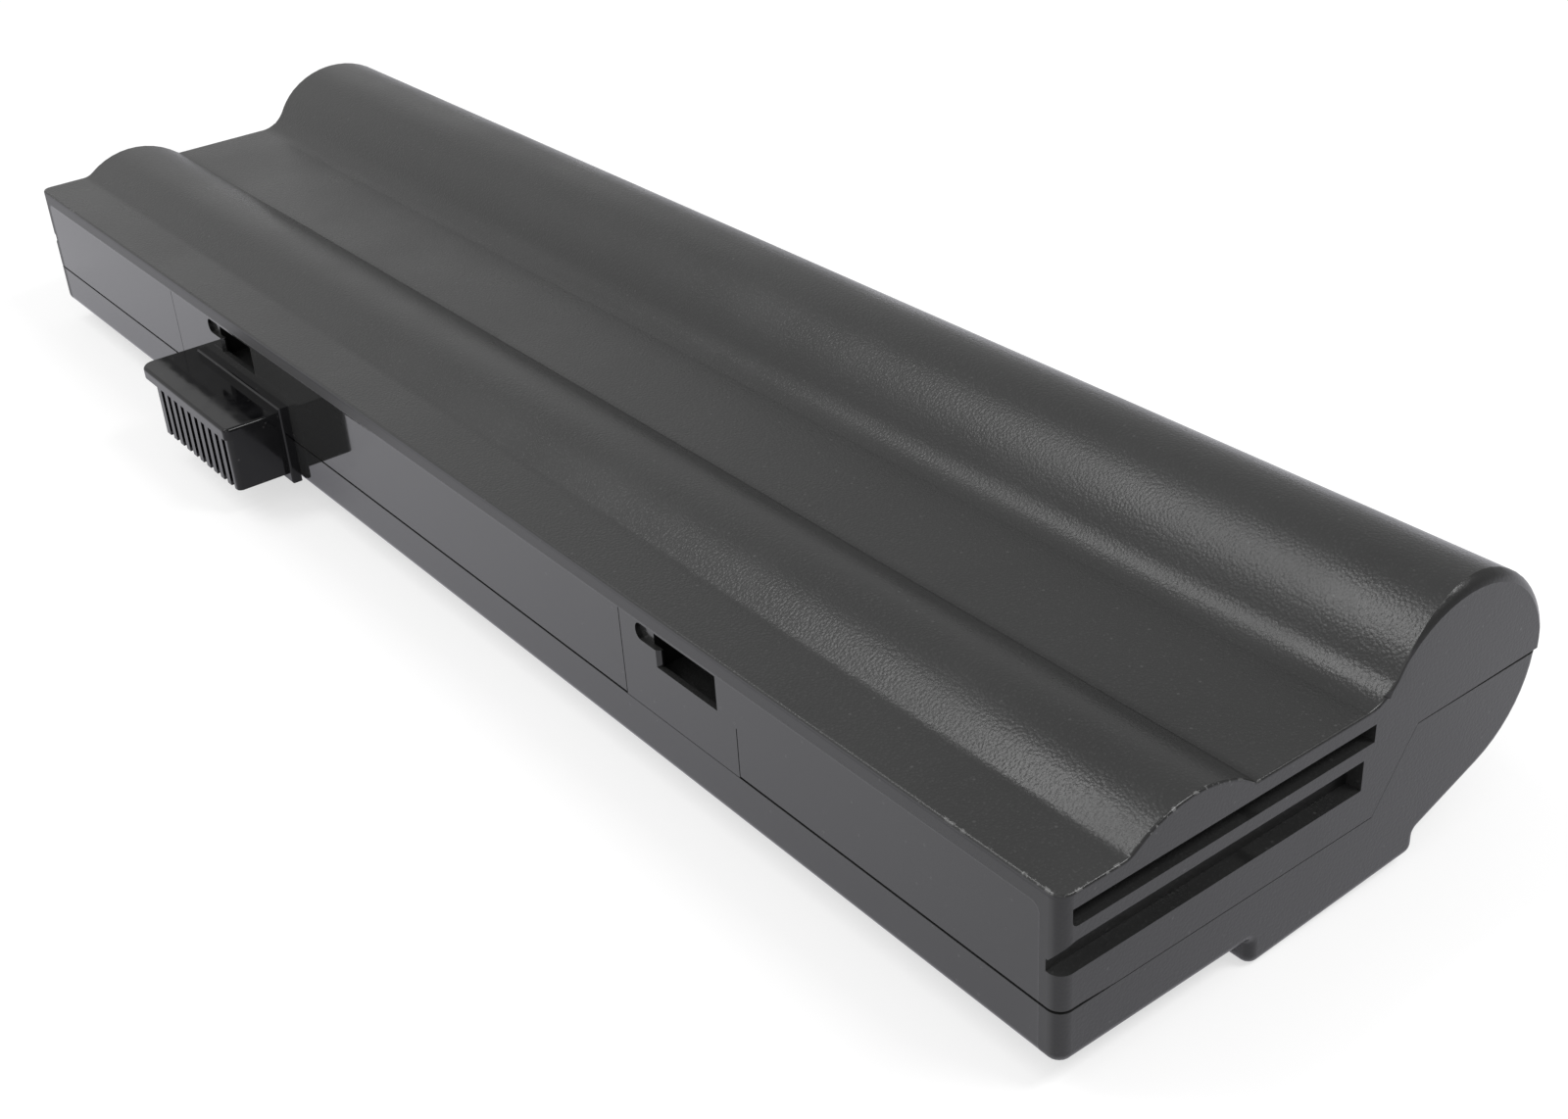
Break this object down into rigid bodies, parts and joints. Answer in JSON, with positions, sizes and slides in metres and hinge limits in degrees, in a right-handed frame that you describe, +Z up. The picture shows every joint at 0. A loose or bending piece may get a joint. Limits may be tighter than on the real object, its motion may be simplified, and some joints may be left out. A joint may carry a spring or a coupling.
{
  "type": "laptop battery",
  "caption": "Long charcoal battery pack with two rounded crowns along its top, guide grooves in its ends, latch pockets and a slotted connector on its front wall.",
  "frame": {"origin": "under the middle of the pack's box, at the level of the foot that it rests on", "axes": "+X along the pack, +Y from the front wall with the connector to the rear barrel, +Z up"},
  "size_m": [0.27, 0.086, 0.0353],
  "materials": {
    "upper_shell": "fine spark-textured charcoal plastic, smooth on the front wall",
    "lower_shell": "charcoal plastic, smooth on the front wall",
    "connector": "smooth black",
    "contact": "bright plated",
    "cell_sleeve": "shrink sleeve",
    "nickel": "bright rolled strip",
    "insulation_paper": "smooth card",
    "circuit_board": "satin lacquer",
    "chip_package": "moulded",
    "fuse": "matt",
    "resistor": "matt",
    "thermistor_bead": "resin-dipped",
    "foam": "open-pored"
  },
  "bodies": {
    "root": {"upper_case": "upper_shell", "lower_case": "lower_shell", "connector_housing": "connector", "contact_01": "contact", "contact_02": "contact", "contact_03": "contact", "contact_04": "contact", "contact_05": "contact", "contact_06": "contact", "contact_07": "contact", "contact_08": "contact", "contact_09": "contact", "contact_10": "contact", "cell_a1": "cell_sleeve", "cell_a2": "cell_sleeve", "cell_a3": "cell_sleeve", "cell_a4": "cell_sleeve", "cell_b1": "cell_sleeve", "cell_b2": "cell_sleeve", "cell_b3": "cell_sleeve", "cell_b4": "cell_sleeve", "cell_c1": "cell_sleeve", "cell_c2": "cell_sleeve", "cell_c3": "cell_sleeve", "cell_c4": "cell_sleeve", "strip_link_1": "nickel", "strip_link_2": "nickel", "strip_link_3": "nickel", "strip_negative": "nickel", "strip_positive": "nickel", "end_paper_left": "insulation_paper", "end_paper_right": "insulation_paper", "board_paper": "insulation_paper", "control_board": "circuit_board", "controller_chip": "chip_package", "switch_transistor_1": "chip_package", "switch_transistor_2": "chip_package", "fuse_link": "fuse", "sense_resistor": "resistor", "thermistor": "thermistor_bead", "foam_pad_a": "foam", "foam_pad_b": "foam", "foam_pad_c": "foam"}
  },
  "joints": []
}
